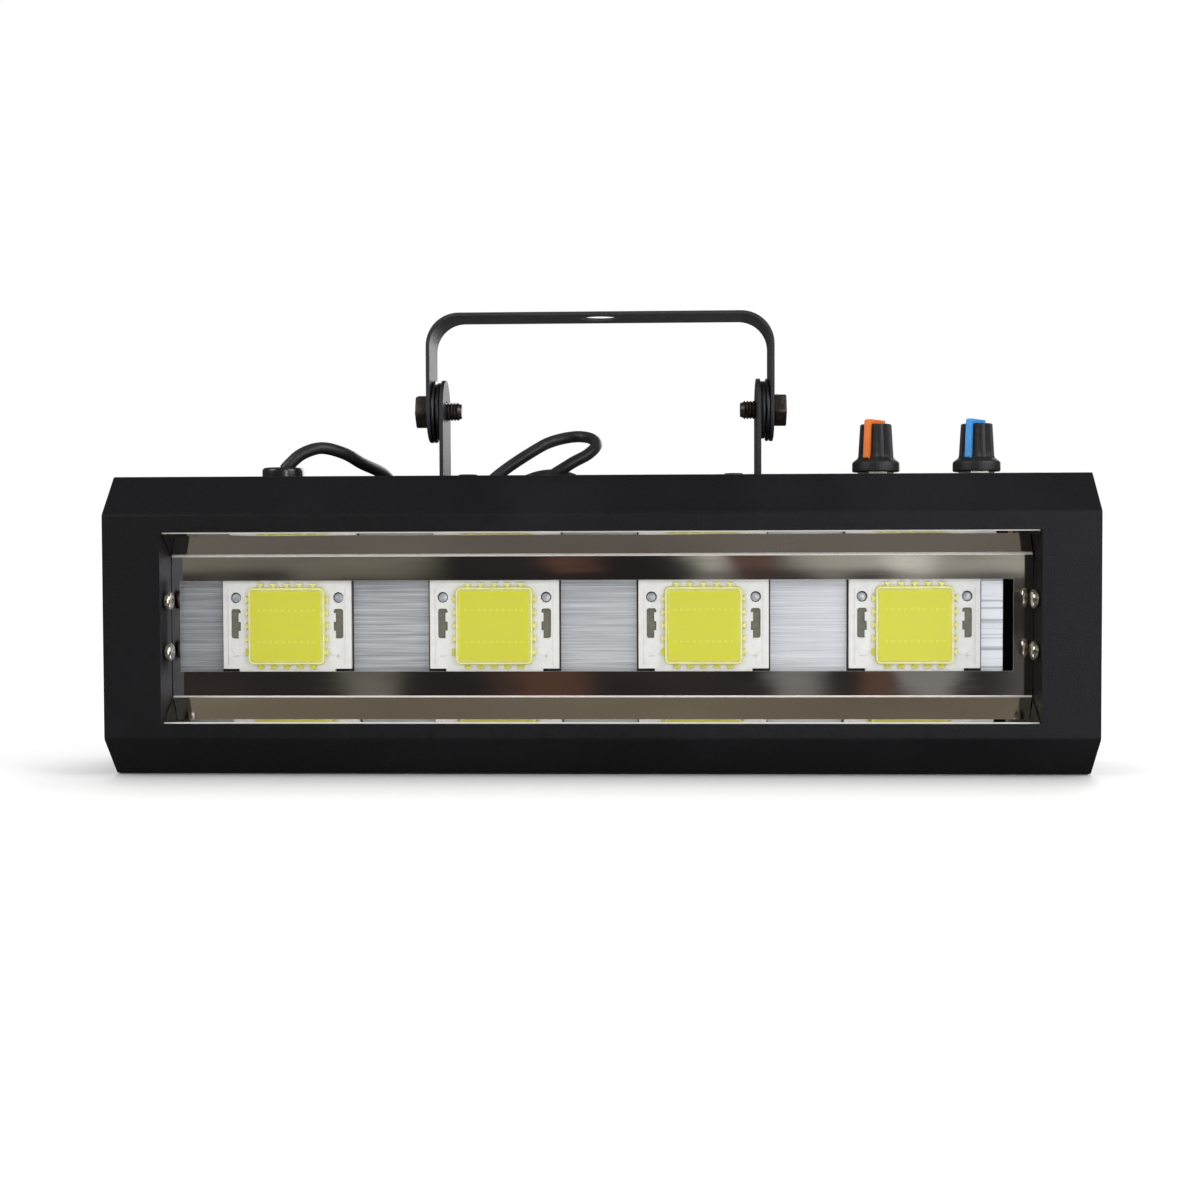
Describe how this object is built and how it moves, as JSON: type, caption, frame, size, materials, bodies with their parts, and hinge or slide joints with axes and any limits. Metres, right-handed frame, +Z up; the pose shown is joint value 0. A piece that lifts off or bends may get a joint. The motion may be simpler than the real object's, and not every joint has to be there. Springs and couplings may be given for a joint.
{
  "type": "strobe light",
  "caption": "LED strobe light: wide black housing with LED modules in a mirror reflector, two rotary controls, a mains lead and a tilting mounting yoke.",
  "frame": {"origin": "middle of the housing's flat bottom, under the middle of the nominal 64 mm depth", "axes": "+X to the right seen from the front, +Y to the back, +Z up; the light shines towards -Y"},
  "size_m": [0.3, 0.134, 0.1441],
  "materials": {
    "powder_coat": "fine-grained matt black powder coat",
    "polished_reflector": "polished aluminium sheet",
    "extruded_aluminium": "mill finish with faint extrusion lines",
    "nickel_steel": "bright nickel plating",
    "black_steel": "black oxide, oiled",
    "black_nylon": "satin black nylon",
    "white_led_board": "white solder mask on an aluminium plate",
    "led_phosphor": "yellow phosphor in clear silicone",
    "knob_plastic": "matt black moulded plastic",
    "orange_plastic": "orange moulded plastic",
    "blue_plastic": "blue moulded plastic",
    "cord_sheath": "satin black flexible sheath",
    "circuit_board": "green solder mask",
    "green_plastic": "green terminal block",
    "winding_tape": "yellowish insulating tape",
    "capacitor_sleeve": "brown shrink sleeve"
  },
  "bodies": {
    "housing": {"front_shell": "powder_coat", "rear_cover": "powder_coat", "bracket_ear_left": "powder_coat", "bracket_ear_right": "powder_coat", "reflector": "polished_reflector", "heat_sink": "extruded_aluminium", "driver_cooler": "extruded_aluminium", "reflector_screw_left_1": "nickel_steel", "reflector_screw_left_2": "nickel_steel", "reflector_screw_right_1": "nickel_steel", "reflector_screw_right_2": "nickel_steel", "sink_spacer_1": "nickel_steel", "sink_spacer_2": "nickel_steel", "sink_spacer_3": "nickel_steel", "sink_spacer_4": "nickel_steel", "speed_control": "nickel_steel", "speed_nut": "nickel_steel", "dimmer_control": "nickel_steel", "dimmer_nut": "nickel_steel", "plug_pin_1": "nickel_steel", "plug_pin_2": "nickel_steel", "rear_screw_1": "black_steel", "rear_screw_2": "black_steel", "rear_screw_3": "black_steel", "rear_screw_4": "black_steel", "pivot_bolt_left": "black_steel", "pivot_bolt_right": "black_steel", "friction_washer_left": "black_nylon", "friction_washer_right": "black_nylon", "cord_bushing": "black_nylon", "coil_tie": "black_nylon", "rectifier": "black_nylon", "led_plate_1": "white_led_board", "led_plate_2": "white_led_board", "led_plate_3": "white_led_board", "led_plate_4": "white_led_board", "led_emitter_1": "led_phosphor", "led_emitter_2": "led_phosphor", "led_emitter_3": "led_phosphor", "led_emitter_4": "led_phosphor", "lead": "cord_sheath", "lead_coil": "cord_sheath", "lead_tail": "cord_sheath", "plug_body": "cord_sheath", "power_board": "circuit_board", "control_board": "circuit_board", "mains_terminal": "green_plastic", "transformer": "winding_tape", "capacitor": "capacitor_sleeve"},
    "yoke_body": {"yoke": "powder_coat", "plain_washer_left": "black_steel", "plain_washer_right": "black_steel"},
    "speed_knob_body": {"speed_shaft": "nickel_steel", "speed_knob": "knob_plastic", "speed_pointer": "orange_plastic"},
    "dimmer_knob_body": {"dimmer_shaft": "nickel_steel", "dimmer_knob": "knob_plastic", "dimmer_pointer": "blue_plastic"}
  },
  "joints": [
    {"name": "yoke_tilt", "type": "hinge", "parent": "housing", "child": "yoke_body", "pos_m": [0, 0.006, 0.1136], "axis": [1, 0, 0], "range_deg": [-110, 110]},
    {"name": "speed_turn", "type": "hinge", "parent": "housing", "child": "speed_knob_body", "pos_m": [0.088, 0.006, 0.1], "axis": [0, 0, 1], "range_deg": [-114, 186]},
    {"name": "dimmer_turn", "type": "hinge", "parent": "housing", "child": "dimmer_knob_body", "pos_m": [0.12, 0.006, 0.1], "axis": [0, 0, 1], "range_deg": [-114, 186]}
  ]
}
